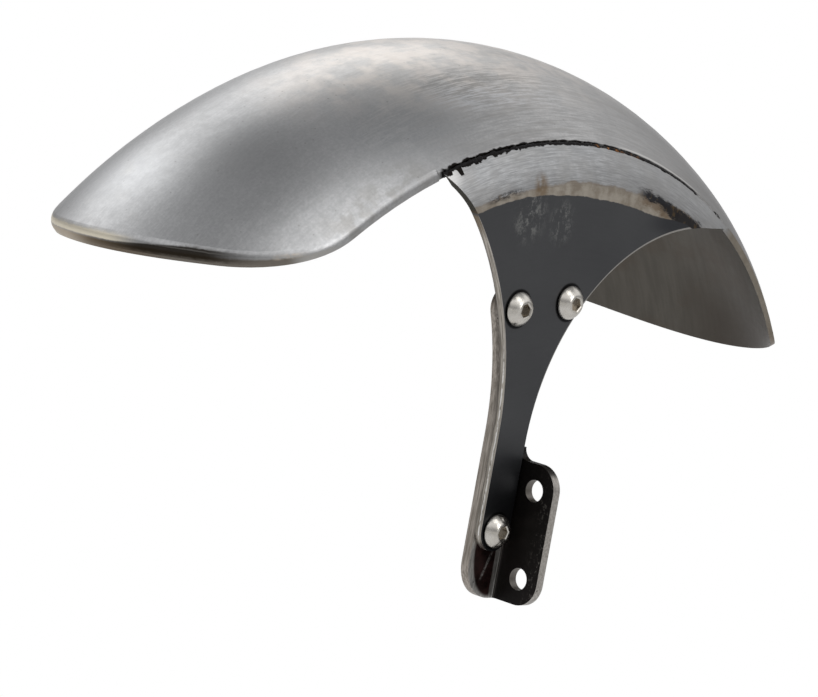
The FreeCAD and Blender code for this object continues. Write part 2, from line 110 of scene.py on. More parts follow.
# %% [markdown]
# ## Helpers for shader nodes
# A finish is a small graph of nodes. Each helper adds one node and hands back its output, so that
# a finish below reads like a sum: a mask, a colour, and one mixed into the other by the mask. A
# class keeps the tree at hand, and g stands for the graph being drawn.


# %% Short ways to add nodes
class Graph:
    """A tree of shader nodes being drawn."""

    def __init__(self, tree):
        self.tree = tree
        tree.nodes.clear()

    def put(self, kind, sockets, **settings):
        """Adds a node, and sets its inputs or links other outputs to them."""
        made = self.tree.nodes.new(kind)
        for name, value in settings.items():
            setattr(made, name, value)
        for socket, value in sockets.items():
            if isinstance(value, bpy.types.NodeSocket):
                self.tree.links.new(value, made.inputs[socket])
            elif isinstance(value, tuple) and made.inputs[socket].type == "RGBA":
                made.inputs[socket].default_value = (*value, 1.0)
            else:
                made.inputs[socket].default_value = value
        return made

    def calc(self, operation, *terms):
        """One sum on numbers."""
        return self.put("ShaderNodeMath", dict(enumerate(terms)), operation=operation).outputs[0]

    def times(self, first, *others):
        """Several masks laid over each other."""
        for other in others:
            first = self.calc("MULTIPLY", first, other)
        return first

    def axes(self, vector):
        """The three numbers of a place or a direction."""
        return self.put("ShaderNodeSeparateXYZ", {0: vector}).outputs

    def ramp(self, value, start, end):
        """Rises smoothly from 0 at start to 1 at end; falls where end is below start."""
        rising = end > start
        sockets = {"Value": value, "From Min": min(start, end), "From Max": max(start, end)}
        sockets.update({"To Min": 1.0 - rising, "To Max": 0.0 + rising})
        return self.put("ShaderNodeMapRange", sockets, interpolation_type="SMOOTHSTEP").outputs[0]

    def window(self, value, low, high, soft):
        """A mask that is 1 between two values, with soft ends."""
        rising = self.ramp(value, low - soft, low + soft)
        return self.times(rising, self.ramp(value, high + soft, high - soft))

    def mix(self, mask, first, second):
        """Lays the second colour over the first where the mask is 1."""
        sockets = {0: mask, 6: first, 7: second}
        return self.put("ShaderNodeMix", sockets, data_type="RGBA").outputs[2]


print("helpers:", [name for name in vars(Graph) if not name.startswith("_")])

# %% [markdown]
# ## Noise and spots
# Nothing on worn steel has a ruled edge. Noise breaks up every mask, and a stretched noise turns
# into brush lines. A spot is a soft oval round one point, for a mark that sits in one place.


# %% Noise and spots in millimetres
class Pattern(Graph):
    """A graph that can also draw noise and spots."""

    def speckle(self, place, size, detail=3.0, roughness=0.55):
        """Cloudy noise whose largest features are about this size."""
        sockets = {"Vector": place, "Scale": 1.0 / size, "Detail": detail, "Roughness": roughness}
        return self.put("ShaderNodeTexNoise", sockets).outputs[0]

    def vector_sum(self, operation, first, second, output=0):
        """One sum on places."""
        sockets = {0: first, 1: second}
        return self.put("ShaderNodeVectorMath", sockets, operation=operation).outputs[output]

    def streaks(self, place, sizes, detail=3.0, roughness=0.55):
        """Noise drawn out by a size along each axis."""
        return self.speckle(self.vector_sum("DIVIDE", place, sizes), 1.0, detail, roughness)

    def reach(self, place, centre, radii):
        """Distance from a point, counted in radii."""
        scaled = self.vector_sum("DIVIDE", self.vector_sum("SUBTRACT", place, centre), radii)
        return self.vector_sum("LENGTH", scaled, scaled, "Value")

    def spot(self, place, centre, radii, soft=0.6):
        """A soft oval mask about a point."""
        return self.ramp(self.reach(place, centre, radii), 1.0 + soft, 1.0 - soft)


print("patterns:", [name for name in vars(Pattern) if not name.startswith("_")])

# %% [markdown]
# ## Where a mark lies
# One node group turns the object's own coordinates into the numbers that the finishes use: the
# place in millimetres, the angle round the axle, the distance from it, the place across, and a
# place rolled out flat along the curve. Built once, it serves them all.


# %% The group for places round the wheel
def new_group(name, inputs, outputs):
    """The graph of a new node group, and its two ends."""
    tree = bpy.data.node_groups.new(name, "ShaderNodeTree")
    for way, sockets in (("INPUT", inputs), ("OUTPUT", outputs)):
        for label, kind in sockets.items():
            tree.interface.new_socket(label, in_out=way, socket_type="NodeSocket" + kind)
    g = Pattern(tree)
    return g, tree.nodes.new("NodeGroupInput").outputs, tree.nodes.new("NodeGroupOutput").inputs


def make_wheel_place():
    """Place, angle, radius, place across, and the place rolled out flat."""
    sockets = dict.fromkeys(("Place", "Angle", "Radius", "Across", "Rolled"), "Float")
    sockets.update(Place="Vector", Rolled="Vector")
    g, _, leave = new_group("wheel_place", {}, sockets)
    own = g.put("ShaderNodeTexCoord", {}).outputs["Object"]
    place = g.put("ShaderNodeVectorMath", {0: own, "Scale": 1 / MM}, operation="SCALE").outputs[0]
    x, y, z = g.axes(place)
    ahead = g.calc("SUBTRACT", x, AXLE.x)
    above = g.calc("SUBTRACT", z, AXLE.z)
    turned = g.calc("ARCTAN2", ahead, above)
    radius = g.calc("SQRT", g.calc("MULTIPLY_ADD", ahead, ahead, g.times(above, above)))
    along = g.calc("MULTIPLY", turned, SEAM_RADIUS)
    rolled = g.put("ShaderNodeCombineXYZ", {0: along, 1: y, 2: radius}).outputs[0]
    for socket, value in zip(leave, (place, g.calc("DEGREES", turned), radius, y, rolled)):
        g.tree.links.new(value, socket)
    return g.tree


wheel_place = make_wheel_place()
print(wheel_place.name, "gives", [socket.name for socket in wheel_place.interface.items_tree])

# %% [markdown]
# ## Wear that all the steel shares
# Bare steel is never one grey. It clouds where hands and oil touched it, it keeps fine lines from
# the abrasive belt, and it has pinhead pits. The group gives each of these as a mask, so that each
# finish takes what its piece shows.


# %% The group for steel marks
def make_steel_marks():
    """Clouds, mottle, grain, brush lines, pits, and the height that they make together."""
    names = ("Clouds", "Mottle", "Grain", "Lines", "Pits", "Height")
    sockets = {"Place": "Vector", "Rolled": "Vector"}
    g, entry, leave = new_group("steel_marks", sockets, dict.fromkeys(names, "Float"))
    place = entry["Place"]
    clouds = g.ramp(g.speckle(place, 42.0, 4.0, 0.5), 0.3, 0.7)
    mottle = g.ramp(g.speckle(place, 5.0, 6.0, 0.7), 0.32, 0.68)
    grain = g.ramp(g.speckle(place, 1.1, 3.0, 0.6), 0.3, 0.7)
    fine = g.streaks(entry["Rolled"], (20.0, 0.6, 0.6), 4.0, 0.65)
    broad = g.streaks(entry["Rolled"], (45.0, 2.6, 2.6), 3.0, 0.6)
    lines = g.ramp(g.calc("MULTIPLY_ADD", fine, 0.6, g.times(broad, 0.4)), 0.36, 0.64)
    cells = g.put("ShaderNodeTexVoronoi", {"Vector": place, "Scale": 1 / 3.6}).outputs
    near = g.ramp(cells["Distance"], 0.15, 0.07)
    chosen = g.ramp(g.put("ShaderNodeSeparateColor", {0: cells["Color"]}).outputs[0], 0.74, 0.78)
    pits = g.times(near, chosen)
    ridges = g.calc("MULTIPLY_ADD", lines, 0.25, g.times(mottle, 0.12))
    height = g.calc("SUBTRACT", g.calc("MULTIPLY_ADD", grain, 0.15, ridges), pits)
    for socket, value in zip(leave, (clouds, mottle, grain, lines, pits, height)):
        g.tree.links.new(value, socket)
    return g.tree


steel_marks = make_steel_marks()
print(steel_marks.name, "has", len(steel_marks.nodes), "nodes")

# %% [markdown]
# ## Starting and closing a finish
# Every finish starts from the same two groups and ends in one shader for metal, with the marks'
# height as a fine bump. What lies between is the piece's own.

# %% Start and close a finish
BUMP_DEPTH = 0.2


class Finish(Pattern):
    """A material's graph, with the place and the steel marks already in it."""

    def __init__(self, name):
        self.material = bpy.data.materials.new(name)
        self.material.use_nodes = True
        super().__init__(self.material.node_tree)
        place = self.put("ShaderNodeGroup", {}, node_tree=wheel_place).outputs
        sockets = {socket: place[socket] for socket in ("Place", "Rolled")}
        marks = self.put("ShaderNodeGroup", sockets, node_tree=steel_marks).outputs
        self.at, self.angle, self.radius, self.across, self.rolled = place
        self.clouds, self.mottle, self.grain, self.lines, self.pits, self.height = marks

    def own_normal(self):
        """The direction that the surface faces, in the object's own axes."""
        return self.put("ShaderNodeTexCoord", {}).outputs["Normal"]

    def close(self, colour, roughness, height, metallic, bump, gloss=0.5):
        """The shader at the end of a finish, with a fine bump."""
        sockets = {"Strength": bump, "Distance": BUMP_DEPTH * MM, "Height": height}
        normal = self.put("ShaderNodeBump", sockets).outputs[0]
        sockets = {"Base Color": colour, "Roughness": roughness, "Metallic": metallic}
        sockets.update({"Normal": normal, "Specular IOR Level": gloss})
        shader = self.put("ShaderNodeBsdfPrincipled", sockets)
        self.put("ShaderNodeOutputMaterial", {"Surface": shader.outputs[0]})
        return self.material


def wear(piece, material):
    """Gives a part or a piece its finish."""
    piece.data.materials.clear()
    piece.data.materials.append(material)
    print(piece.name, "wears", material.name, "of", len(material.node_tree.nodes), "nodes")


print("every finish starts from", wheel_place.name, "and", steel_marks.name)

# %% [markdown]
# ## The shell's bare steel
# The shell was pressed, welded and left raw. Its top is pale and a little warm, a darker brushed
# cloud lies ahead of the weld, and belt lines run along its rear half. Each of these is a mask and
# a colour of its own, laid one over the other in the order in which they came about.

# %% The outside of the shell
LINED = (30.0, 6.0)


def stroke_noise(g):
    """Short strokes of the abrasive along the shell."""
    return g.streaks(g.rolled, (11.0, 0.8, 0.8), 5.0, 0.7)


def brushed_steel(g):
    """Pale clouded steel with a fine grain, belt lines on the rear half, and painted shade on the
    rear.
    """
    steel = g.mix(g.clouds, (0.51, 0.513, 0.517), (0.60, 0.602, 0.604))
    steel = g.mix(g.times(g.mottle, 0.55), steel, (0.40, 0.403, 0.405))
    brushed = g.ramp(stroke_noise(g), 0.40, 0.60)
    strokes = g.mix(brushed, (0.32, 0.31, 0.30), (0.58, 0.57, 0.555))
    lined = g.mix(g.times(g.lines, 0.5), strokes, (0.42, 0.41, 0.397))
    rear = g.ramp(g.angle, *LINED)
    steel = g.mix(g.calc("MULTIPLY_ADD", rear, 0.55, 0.2), steel, lined)
    # Painted shade: darker on the rear's near side, and below it darker towards the rear end.
    low = g.times(g.ramp(g.angle, 3.0, -8.0), g.ramp(g.across, -62.0, -34.0), 0.4)
    steel = g.mix(low, steel, (0.27, 0.263, 0.255))
    steel = g.mix(g.times(g.ramp(g.angle, -4.0, -18.0), 0.3), steel, (0.31, 0.295, 0.28))
    bands = g.streaks(g.rolled, (55.0, 5.0, 5.0), 5.0, 0.6)
    steel = g.mix(g.times(g.ramp(bands, 0.48, 0.66), rear, 0.5), steel, (0.29, 0.275, 0.255))
    return g.mix(g.times(g.grain, 0.42), steel, (0.35, 0.352, 0.355))


print("belt lines come in from", LINED[0], "to", LINED[1], "degrees")

# %% [markdown]
# ## Marks of hands and brushes, and painted reflections
# Handling left warm patches round the crown and a mottled edge near the weld, and a brush left dark
# and bright strokes below the crown. Each mark sits in one place, so it is a spot with noise in it.
# Two spots on the front, one pale and one dark, are painted reflections.

# %% Patches and the brushed cloud
CROWN = (34, -72, 181)
CLOUD = (80, -35, 154)


def handled_patches_and_painted_reflections(g, steel):
    """Warm patches near the crown, a pale and a dark painted reflection on the front, and a mottled
    near edge.
    """
    crown = g.spot(g.at, CROWN, (92, 34, 32))
    steel = g.mix(g.times(crown, 0.40), steel, (0.66, 0.635, 0.60))
    blotch = g.ramp(g.speckle(g.at, 13.0, 6.0, 0.6), 0.38, 0.62)
    warm = g.mix(g.speckle(g.at, 30.0), (0.80, 0.74, 0.66), (0.79, 0.71, 0.66))
    steel = g.mix(g.times(crown, blotch, 0.58), steel, warm)
    # A pale painted reflection on the far side of the front.
    pale = g.spot(g.at, (156, -104, 120), (20, 26, 20), 0.8)
    steel = g.mix(g.times(pale, 0.45), steel, (0.68, 0.69, 0.70))
    # A dark painted reflection on the front.
    front = g.spot(g.at, (134, -67, 138), (22, 27, 18), 0.95)
    steel = g.mix(g.times(front, 0.5), steel, (0.27, 0.27, 0.27))
    edge = g.times(g.ramp(g.across, -27.0, -19.0), g.window(g.angle, 26.0, 41.0, 3.0))
    mottle = g.ramp(g.speckle(g.at, 8.0, 5.0, 0.6), 0.44, 0.60)
    return g.mix(g.times(edge, mottle, 0.5), steel, (0.34, 0.325, 0.305))


def brushed_cloud(g, steel):
    """Dark and bright strokes ahead of the weld and below the crown."""
    strokes = stroke_noise(g)
    cloud = g.times(g.spot(g.at, CLOUD, (30, 15, 16)), g.ramp(strokes, 0.42, 0.57), 0.40)
    steel = g.mix(cloud, steel, (0.26, 0.27, 0.28))
    bright = g.times(g.spot(g.at, (35, -36, 170), (40, 7, 7)), g.ramp(strokes, 0.42, 0.62), 0.55)
    steel = g.mix(bright, steel, (0.66, 0.67, 0.69))
    scuffs = g.times(g.spot(g.at, (30, -45, 174), (44, 8, 8)), g.ramp(strokes, 0.54, 0.44), 0.55)
    return g.mix(scuffs, steel, (0.25, 0.24, 0.23))


print("the crown's patches lie round", CROWN, "and the cloud round", CLOUD)

# %% [markdown]
# ## The turned-in front edge
# Where the sheet rolls in at the front, the torch left a tint: a black-brown band, part tint and
# part painted dark reflection, that sinks towards the far corner, and brown under it. The cream on
# the far half of the roll is a painted highlight. The roll is found by the surface's direction: the
# skin faces straight away from the axis of the front's own curve, and the more the surface turns
# from that, the lower it lies on the roll.

# %% Tint on the front edge
FRONT_AXIS = (-24.6, 0.0, -78.0)


def roll_slope(g):
    """1 on the skin, 0 on the wall under the roll, a little ragged."""
    tilts = []
    for way in (g.own_normal(), g.vector_sum("SUBTRACT", g.at, FRONT_AXIS)):
        parts = g.axes(way)
        tilts.append(g.calc("ARCTAN2", parts[0], parts[2]))
    slope = g.calc("COSINE", g.calc("SUBTRACT", *tilts))
    ragged = g.streaks(g.at, (8.0, 14.0, 8.0), 2.0, 0.4)
    return g.calc("MULTIPLY_ADD", ragged, 0.05, g.calc("SUBTRACT", slope, 0.025))


def front_edge(g, steel):
    """Brown wall, a painted cream highlight, and a black band of tint and painted dark reflection
    along the rolled front edge.
    """
    slope = roll_slope(g)
    across = g.across
    front = g.ramp(g.angle, 40.0, 43.0)
    brown = g.mix(g.ramp(across, -112.0, -88.0), (0.58, 0.49, 0.37), (0.16, 0.11, 0.058))
    brown = g.mix(g.ramp(across, -80.0, -50.0), brown, (0.19, 0.165, 0.135))
    brown = g.mix(g.ramp(across, -23.5, -19.5), brown, (0.46, 0.445, 0.42))
    steel = g.mix(g.times(g.ramp(slope, 0.72, 0.42), front, 0.92), steel, brown)
    # Painted highlight: cream on the far half of the roll.
    cream_highlight = g.times(g.window(slope, 0.62, 0.95, 0.05), g.ramp(across, -66.0, -84.0), front)
    steel = g.mix(g.times(cream_highlight, 0.95), steel, (1.0, 0.92, 0.75))
    near = g.times(g.window(slope, 0.40, 0.93, 0.06), g.window(across, -25, -21, 2), front)
    mottled = g.ramp(g.speckle(g.at, 3.0, 4.0), 0.3, 0.6)
    steel = g.mix(g.times(near, mottled, 0.7), steel, (0.72, 0.62, 0.50))
    top = g.calc("MULTIPLY_ADD", g.ramp(across, -84.0, -46.0), 0.34, 0.62)
    # The black band is part torch tint and part painted dark reflection.
    dark = g.times(g.ramp(slope, -0.12, 0.34), g.ramp(g.calc("SUBTRACT", slope, top), 0.05, -0.05))
    dark = g.times(dark, g.ramp(across, -98.0, -66.0), g.ramp(across, -24.0, -44.0), front)
    steel = g.mix(g.times(dark, 0.95), steel, (0.020, 0.014, 0.008))
    streak = g.times(g.window(slope, 0.79, 0.86, 0.03), g.window(across, -62, -36, 7), front)
    return g.mix(g.times(streak, 0.5), steel, (0.25, 0.24, 0.225))


print("the front bends round an axis at", FRONT_AXIS)

# %% [markdown]
# ## The burnt seam and the cut edge
# Beside the weld the steel is burnt black, most where the torch started. Behind the weld the cut
# edge shows grey-tan metal that has begun to rust at its lower end. The black is placed by the
# distance from the seam, and the rear's cut edge by the way in which its faces look.

# %% Burnt seam and cut edge
# Black of burnt steel, also used as painted shade on the bracket's upward rims.
BURNT_AND_SHADE_BLACK = (0.012, 0.010, 0.009)
BURN_REAR = -22.8
CORNER_WAY = (-0.25, 0.86, -0.44)
REAR_WAY = (-0.5, 0.0, -0.87)


def burnt_reach(g):
    """How far the black of the seam spreads from it, by the angle round the axle."""
    ragged = g.ramp(g.speckle(g.rolled, 4.0, 3.0, 0.5), 0.32, 0.68)
    middle = g.calc("MULTIPLY_ADD", g.ramp(g.angle, -12.0, -2.0), 0.35, 0.2)
    wide = g.calc("MULTIPLY_ADD", g.ramp(g.angle, 6.0, 18.0), 0.6, middle)
    return g.times(ragged, wide)


def seam_burn(g, steel):
    """Black along the shell's welded edge, and a painted highlight along that edge on its rear
    half.
    """
    away = g.calc("SUBTRACT", SHELL_EDGE, g.across)
    # Painted highlight where the shell's edge catches the light.
    edge_highlight = g.times(g.window(away, 0.3, 1.0, 0.2), g.window(g.angle, -23.0, -7.0, 2.0))
    steel = g.mix(g.times(edge_highlight, 0.6), steel, (0.74, 0.72, 0.69))
    reach = g.times(burnt_reach(g), 0.6)
    burnt = g.ramp(g.calc("SUBTRACT", away, reach), 0.12, -0.2)
    burnt = g.times(burnt, g.window(g.angle, BURN_REAR, SEAM_FRONT, 0.4))
    return g.mix(burnt, steel, BURNT_AND_SHADE_BLACK)


def cut_edge(g, steel):
    """Grey-tan cut edge behind the weld, rusting at its lower end."""
    edge = g.times(g.ramp(g.across, -16.6, -15.9), g.ramp(g.angle, -31.0, -33.0))
    for way in (CORNER_WAY, REAR_WAY):
        facing = g.vector_sum("DOT_PRODUCT", g.own_normal(), way, "Value")
        end = g.times(g.ramp(facing, 0.74, 0.88), g.ramp(g.angle, -46.0, -49.0))
        edge = g.calc("MAXIMUM", edge, end)
    tan = g.mix(g.speckle(g.at, 3.0), (0.22, 0.19, 0.15), (0.40, 0.36, 0.30))
    rust = g.times(g.ramp(g.angle, -46.0, -58.0), g.speckle(g.at, 9.0, 4.0))
    return g.mix(edge, steel, g.mix(rust, tan, (0.16, 0.07, 0.035)))


print("the seam is burnt from", SEAM_FRONT, "to", BURN_REAR, "degrees")

# %% [markdown]
# ## The inside, and the shell as a whole
# The inside keeps the olive brown skin of rolled sheet. Inside and outside are told apart by the
# surface's own direction: it points away from a spot under the arch on the outside, and towards it
# inside. All the marks are then laid over each other.

# %% The inside and the whole finish of the shell
UNDER_ARCH = (AXLE.x, AXLE.y, AXLE.z + 60.0)


def rolled_sheet(g):
    """The inside: olive grey with faint streaks along the curve, browner at the rear."""
    streaks = g.streaks(g.rolled, (26.0, 3.5, 26.0), 4.0, 0.55)
    sheet = g.mix(g.ramp(streaks, 0.3, 0.7), (0.098, 0.088, 0.073), (0.122, 0.110, 0.092))
    brown = g.ramp(g.speckle(g.at, 24.0, 5.0, 0.6), 0.42, 0.66)
    sheet = g.mix(g.times(brown, 0.55), sheet, (0.092, 0.070, 0.052))
    low = g.times(g.ramp(g.angle, -46.0, -57.0), g.ramp(g.across, -105.0, -65.0), 0.85)
    return g.mix(low, sheet, (0.054, 0.041, 0.029))


def outside_mask(g):
    """1 on the outside of the shell, 0 on its inside."""
    out = g.vector_sum("SUBTRACT", g.at, UNDER_ARCH)
    return g.ramp(g.vector_sum("DOT_PRODUCT", out, g.own_normal(), "Value"), -30.0, 10.0)


def make_shell_steel():
    """All of the shell's marks, one over the other."""
    g = Finish("shell_steel")
    steel = brushed_cloud(g, handled_patches_and_painted_reflections(g, brushed_steel(g)))
    steel = g.mix(g.times(g.pits, 0.35), steel, (0.17, 0.155, 0.14))
    steel = seam_burn(g, front_edge(g, steel))
    outside = outside_mask(g)
    colour = cut_edge(g, g.mix(outside, rolled_sheet(g), steel))
    rough = g.calc("MULTIPLY_ADD", g.mottle, 0.05, 0.345)
    metallic = g.calc("MULTIPLY_ADD", outside, 0.5, 0.5)
    return g.close(colour, rough, g.height, metallic, 0.10)


wear(nodes["fender_shell"], make_shell_steel())

# %% [markdown]
# ## The hanger plate
# The plate keeps the dark blue-grey mill scale of hot-rolled steel on its flat face. Its curved
# top was ground bright after welding, with short lines along the curve. Heat left a tan band where
# the grinding stopped, and soot where the torch rested. All of it is placed by the distance from
# the axle, measured from the line at which the scale starts, which dips in the middle.

# %% Mill scale on the plate
# Radii of the painted shadow rings round the screw heads.
SHADOW_RING_RADII = (8.0, 8.0, 8.0)
REAR_ARC = (-88.2, PLATE_FACE, 35.6)
REAR_ARC_RADII = (93.9, 1000.0, 93.9)


def scale_line(g):
    """Distance from the axle at which the ground strip ends and the scale starts."""
    front = g.ramp(g.angle, -2.0, 16.0)
    rear = g.ramp(g.angle, -12.0, -23.0)
    ragged = g.calc("MULTIPLY_ADD", g.speckle(g.at, 5.0, 4.0), 1.6, 177.7)
    return g.calc("MULTIPLY_ADD", rear, 5.0, g.calc("MULTIPLY_ADD", front, 2.1, ragged))


def screw_shadow_rings(g):
    """Painted black contact shadow rings on the plate round the screw heads."""
    rings = 0.0
    for x, z in SCREWS:
        ring = g.spot(g.at, (x, PLATE_FACE, z), SHADOW_RING_RADII, 0.05)
        rings = g.calc("MAXIMUM", ring, rings)
    return rings


def worn_line(g):
    """A thin worn line along the rear edge of the plate, which is one large arc."""
    line = g.ramp(g.reach(g.at, REAR_ARC, REAR_ARC_RADII), 1.0045, 1.0025)
    return g.times(line, g.ramp(g.axes(g.at)[2], 40.0, 70.0))


def mill_scale(g):
    """Dark scale with pale smears below the strip, a black rear tip and a worn rear edge."""
    scale = g.mix(g.clouds, (0.037, 0.038, 0.041), (0.048, 0.049, 0.052))
    scale = g.mix(g.times(g.grain, 0.2), scale, (0.035, 0.035, 0.037))
    smear = g.streaks(g.at, (3.0, 5.0, 4.4), 6.0, 0.8)
    near = g.spot(g.at, (28, PLATE_FACE, 127.5), (8, 9, 9), 0.6)
    far = g.spot(g.at, (8, PLATE_FACE, 126), (6, 9, 7), 0.6)
    smears = g.times(g.calc("MAXIMUM", near, far), g.ramp(smear, 0.47, 0.62), 0.45)
    scale = g.mix(smears, scale, (0.33, 0.33, 0.31))
    tip = g.spot(g.at, (-67, PLATE_FACE, 129.5), (16, 12, 5))
    scale = g.mix(g.times(tip, 0.9), scale, (0.008, 0.009, 0.013))
    return g.mix(g.times(worn_line(g), 0.7), scale, (0.40, 0.38, 0.35))


# The dark rings round the screws are painted contact shadow.
print("grime lies round", len(SCREWS), "screws")

# %% [markdown]
# ## Ground strip, heat and soot
# The grinder left short bright lines along the strip's curve. The tan band of heat follows the
# scale line and is widest in the middle. The soot at the rear is a thick black smear, the one at
# the front only a few brush strokes. Noise drawn out along the curve frays both.

# %% Ground strip, heat and soot
BARE_CORNER = (74, -13, 140)
HEAT_PEAK = (24.0, -8.3, 139.4)


def ground_strip(g):
    """Bright ground steel with short lengthwise lines and a bare front corner."""
    brush = g.streaks(g.rolled, (8.0, 0.45, 0.45), 4.0, 0.65)
    strip = g.mix(g.ramp(brush, 0.38, 0.62), (0.36, 0.362, 0.364), (0.60, 0.605, 0.61))
    worked = g.ramp(g.speckle(g.rolled, 15.0, 4.0, 0.5), 0.36, 0.62)
    strip = g.mix(g.times(worked, 0.5), strip, (0.43, 0.42, 0.405))
    strip = g.mix(g.times(g.mottle, 0.5), strip, (0.36, 0.362, 0.365))
    strip = g.mix(g.times(g.ramp(g.angle, 4.0, -9.0), 0.4), strip, (0.34, 0.335, 0.33))
    corner = g.spot(g.at, BARE_CORNER, (6, 5, 6))
    return g.mix(g.times(corner, 0.8), strip, (0.82, 0.81, 0.79))


def heat_band(g, strip, above):
    """Tan heat tint above the scale line, with one brown peak."""
    ragged = g.times(g.speckle(g.rolled, 6.0, 5.0, 0.7), 3.0)
    wide = g.calc("MULTIPLY_ADD", g.window(g.angle, -20.0, 7.0, 5.0), 3.0, 1.2)
    over = g.calc("SUBTRACT", above, g.calc("ADD", wide, ragged))
    patchy = g.ramp(g.speckle(g.rolled, 7.0, 5.0, 0.6), 0.34, 0.66)
    tan = g.mix(patchy, (0.30, 0.245, 0.18), (0.50, 0.445, 0.365))
    strip = g.mix(g.times(g.ramp(over, 0.5, -0.9), 0.8), strip, tan)
    brown = g.times(g.window(over, -0.5, 0.3, 0.4), g.speckle(g.rolled, 5.0, 4.0), 0.7)
    strip = g.mix(brown, strip, (0.24, 0.17, 0.10))
    peak = g.spot(g.at, HEAT_PEAK, (3.6, 6.0, 4.6), 0.5)
    peak = g.times(peak, g.ramp(g.speckle(g.rolled, 4.0, 4.0), 0.22, 0.55))
    return g.mix(g.times(peak, 0.72), strip, (0.22, 0.145, 0.075))


def soot(g, strip):
    """Black smears that the torch left on the strip."""
    frayed = g.streaks(g.rolled, (5.0, 1.3, 1.3), 6.0, 0.75)
    reach = g.calc("MULTIPLY_ADD", frayed, 7.0, g.calc("SUBTRACT", g.radius, 3.5))
    low = g.calc("MULTIPLY_ADD", g.ramp(g.angle, -14.0, -18.5), -3.2, 183.6)
    over = g.calc("SUBTRACT", reach, low)
    run = g.window(g.angle, -25.0, -10.0, 1.4)
    rear = g.times(g.ramp(over, -0.7, 0.9), g.ramp(reach, 188.0, 186.2), run)
    brown = g.times(g.window(over, -2.6, 0.4, 0.9), run, 0.6)
    strip = g.mix(brown, strip, (0.17, 0.105, 0.05))
    front = g.times(g.window(g.radius, 182.0, 184.8, 0.9), g.ramp(frayed, 0.42, 0.56))
    front = g.times(front, g.window(g.angle, 13.2, 19.2, 1.2), 0.8)
    gold = g.ramp(g.speckle(g.rolled, 3.0, 4.0), 0.54, 0.66)
    black = g.mix(gold, (0.012, 0.012, 0.016), (0.085, 0.055, 0.026))
    return g.mix(g.times(g.calc("MAXIMUM", rear, front), 0.94), strip, black)


print("bare corner at", BARE_CORNER, "and hottest at", HEAT_PEAK)

# %% [markdown]
# ## The weld's traces on the strip
# Molten metal ran a little way down the strip before it froze. Four drips near the front and a
# ragged black line along the seam give that, with flecks of rust in the middle of the run. The
# strip's front end, where the sheet was cut, is dark olive above and brown below.

# %% Drips and the strip's front end
DRIPS = [(23.5, 1.1), (22.0, 2.2), (19.2, 1.1), (16.0, 0.9)]


def strip_burn(g, strip):
    """Black drips and flecks of rust down from the seam."""
    reach = burnt_reach(g)
    for angle, length in DRIPS:
        drip = g.times(g.window(g.angle, angle - 0.35, angle + 0.35, 0.12), length)
        reach = g.calc("MAXIMUM", drip, reach)
    away = g.calc("SUBTRACT", g.across, STRIP_EDGE)
    burnt = g.ramp(g.calc("SUBTRACT", away, reach), 0.12, -0.2)
    run = g.window(g.angle, BURN_REAR, SEAM_FRONT, 0.4)
    burnt = g.times(burnt, g.ramp(g.radius, 190.0, 194.0), run)
    rusty = g.window(g.angle, -10.0, 0.0, 3.0)
    fleck = g.times(g.ramp(g.speckle(g.rolled, 3.0, 4.0), 0.5, 0.6), rusty)
    return g.mix(burnt, strip, g.mix(fleck, BURNT_AND_SHADE_BLACK, (0.28, 0.12, 0.04)))


def strip_end(g, strip):
    """The cut front end of the strip."""
    ahead = g.axes(g.own_normal())[0]
    end = g.times(g.ramp(ahead, 0.42, 0.55), g.ramp(g.angle, 12.0, 15.0))
    low = g.calc("MULTIPLY_ADD", g.speckle(g.at, 6.0), 5.0, g.radius)
    cut = g.mix(g.ramp(low, 186.0, 180.0), (0.050, 0.046, 0.034), (0.15, 0.10, 0.05))
    return g.mix(end, strip, cut)


print(len(DRIPS), "drips run down from the seam")

# %% [markdown]
# ## The plate's cut edges
# A torch-cut edge has long streaks, a dark inner half, and a burr that runs along it lower down on
# the arm, painted with a white highlight. A thin painted highlight marks the corner to the face.
# The mask for the edge takes what lies between the two flat faces.


# %% Cut edges and the whole finish of the plate
def sawn_edge(g):
    """Tan edge with long streaks, a painted white highlight on the burr, and a painted highlight on
    the corner.
    """
    streaks = g.streaks(g.at, (13.0, 0.5, 13.0), 4.0, 0.65)
    tan = g.mix(g.ramp(streaks, 0.36, 0.64), (0.23, 0.203, 0.17), (0.62, 0.575, 0.51))
    tan = g.mix(g.times(g.ramp(g.across, -10.0, -10.9), 0.45), tan, (0.06, 0.054, 0.046))
    tan = g.mix(g.times(g.ramp(g.radius, 166.0, 178.0), 0.75), tan, (0.17, 0.12, 0.065))
    z = g.axes(g.at)[2]
    wander = g.calc("MULTIPLY_ADD", g.speckle(g.at, 12.0), 1.2, g.across)
    white = g.ramp(g.streaks(g.at, (4.0, 1.0, 4.0), 4.0), 0.40, 0.54)
    # Painted white highlight along the burr.
    burr_highlight = g.times(g.window(wander, -8.9, -8.2, 0.25), white, g.ramp(z, 82.0, 62.0))
    tan = g.mix(burr_highlight, tan, (1.0, 0.98, 0.94))
    # Painted highlight on the corner to the face.
    return g.mix(g.ramp(g.across, -8.0, -7.8), tan, (0.58, 0.56, 0.53))


